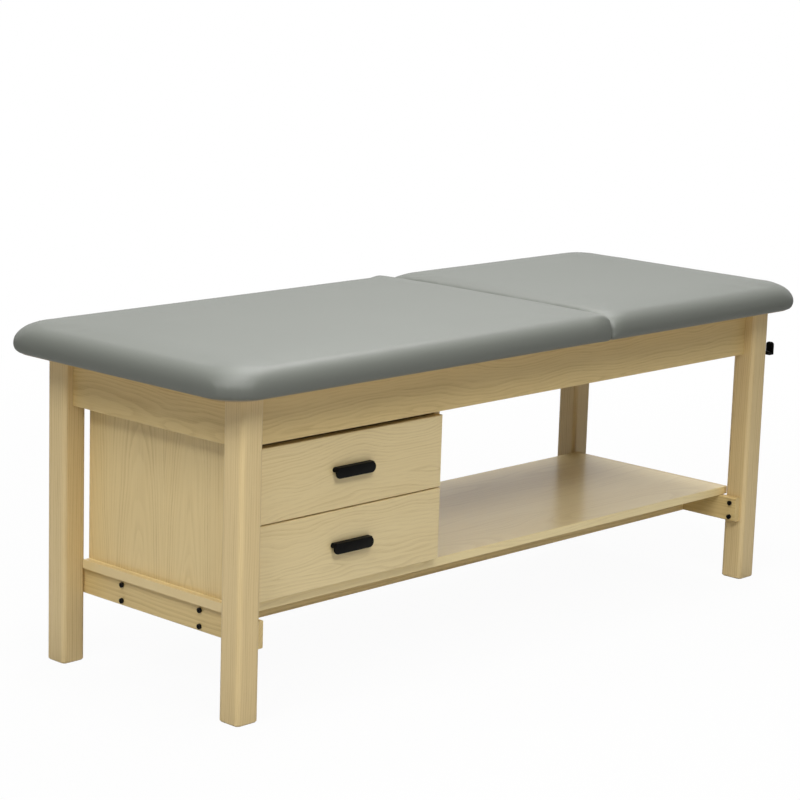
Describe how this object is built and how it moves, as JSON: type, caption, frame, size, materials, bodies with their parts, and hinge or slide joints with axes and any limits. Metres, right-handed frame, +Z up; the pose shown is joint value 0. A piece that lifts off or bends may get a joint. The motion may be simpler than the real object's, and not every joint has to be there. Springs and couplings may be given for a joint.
{
  "type": "spa bed with cabinet base",
  "caption": "Wooden spa bed with a padded tilting head section, a low shelf and a drawer cabinet under the foot section.",
  "frame": {"origin": "on the floor under the middle of the padded top", "axes": "+X towards the head end, -Y the drawer side, +Z up"},
  "size_m": [1.981, 0.761, 0.7767],
  "materials": {
    "oak_frame": "pale oak, clear satin lacquer",
    "oak_shelf": "pale oak, clear satin lacquer, slightly glossy",
    "oak_cabinet": "oak veneer, upright grain",
    "oak_fronts": "oak veneer, level cathedral grain",
    "inner_wood": "plain sanded wood",
    "drawer_wood": "pale birch drawer sides",
    "plywood": "birch plywood",
    "vinyl": "warm grey upholstery vinyl, satin",
    "black_metal": "satin black",
    "black_bolts": "black oxide",
    "zinc_steel": "zinc plated",
    "ratchet_steel": "black powder coat on steel plate"
  },
  "bodies": {
    "root": {"leg_foot_front": "oak_frame", "leg_foot_rear": "oak_frame", "leg_head_front": "oak_frame", "leg_head_rear": "oak_frame", "apron_front": "oak_frame", "apron_rear": "oak_frame", "apron_foot": "oak_frame", "apron_head": "oak_frame", "corner_blocks": "inner_wood", "hanger_bolts": "zinc_steel", "split_rail": "inner_wood", "deck_rail": "inner_wood", "pawl_rail": "inner_wood", "shelf": "oak_shelf", "shelf_rails": "oak_frame", "stretcher_foot": "oak_frame", "stretcher_head": "oak_frame", "frame_bolts": "black_bolts", "cabinet_side_foot": "oak_cabinet", "cabinet_side_head": "oak_cabinet", "cabinet_back": "inner_wood", "cabinet_bottom": "inner_wood", "cabinet_top": "inner_wood", "cabinet_dowels": "inner_wood", "cabinet_runners": "zinc_steel", "foot_deck": "plywood", "foot_pad": "vinyl", "hinge_leaves_foot": "zinc_steel", "foot_deck_screws": "zinc_steel", "fixing_screws": "zinc_steel", "hinge_screws_foot": "zinc_steel", "hinge_pins": "zinc_steel", "pawl_bracket": "ratchet_steel", "pawl_pin": "zinc_steel", "release_brackets": "ratchet_steel", "release_spring": "ratchet_steel"},
    "head_section": {"head_deck": "plywood", "head_pad": "vinyl", "hinge_leaves_head": "zinc_steel", "head_deck_screws": "zinc_steel", "quadrant": "ratchet_steel"},
    "release": {"release_lever": "black_metal"},
    "rod": {"pull_rod": "zinc_steel"},
    "pawl": {"pawl": "ratchet_steel"},
    "upper_drawer": {"upper_drawer_front": "oak_fronts", "upper_drawer_side_foot": "drawer_wood", "upper_drawer_side_head": "drawer_wood", "upper_drawer_back": "drawer_wood", "upper_drawer_bottom": "drawer_wood", "upper_drawer_runners": "zinc_steel", "upper_pull": "black_metal", "upper_pull_screws": "zinc_steel"},
    "lower_drawer": {"lower_drawer_front": "oak_fronts", "lower_drawer_side_foot": "drawer_wood", "lower_drawer_side_head": "drawer_wood", "lower_drawer_back": "drawer_wood", "lower_drawer_bottom": "drawer_wood", "lower_drawer_runners": "zinc_steel", "lower_pull": "black_metal", "lower_pull_screws": "zinc_steel"}
  },
  "joints": [
    {"name": "head_tilt", "type": "hinge", "parent": "root", "child": "head_section", "pos_m": [0.207, 0, 0.7607], "axis": [0, -1, 0], "range_deg": [0, 60]},
    {"name": "upper_drawer_slide", "type": "slide", "parent": "root", "child": "upper_drawer", "axis": [0, -1, 0], "range_m": [0, 0.34]},
    {"name": "lower_drawer_slide", "type": "slide", "parent": "root", "child": "lower_drawer", "axis": [0, -1, 0], "range_m": [0, 0.34]},
    {"name": "release_turn", "type": "hinge", "parent": "root", "child": "release", "pos_m": [0.94, 0, 0.586], "axis": [0, -1, 0], "range_deg": [0, 15], "stiffness_Nm_per_rad": 0.8, "springref_deg": -22.92},
    {"name": "rod_swing", "type": "hinge", "parent": "release", "child": "rod", "pos_m": [0.94, 0, 0.556], "axis": [0, -1, 0], "range_deg": [-15, 0]},
    {"name": "pawl_lift", "type": "hinge", "parent": "root", "child": "pawl", "pos_m": [0.4339, 0, 0.6297], "axis": [0, -1, 0], "range_deg": [0, 15]}
  ],
  "couplings": [
    {"joint": "rod_swing", "follows": "release_turn", "ratio": -1},
    {"joint": "pawl_lift", "follows": "release_turn", "ratio": 1}
  ]
}
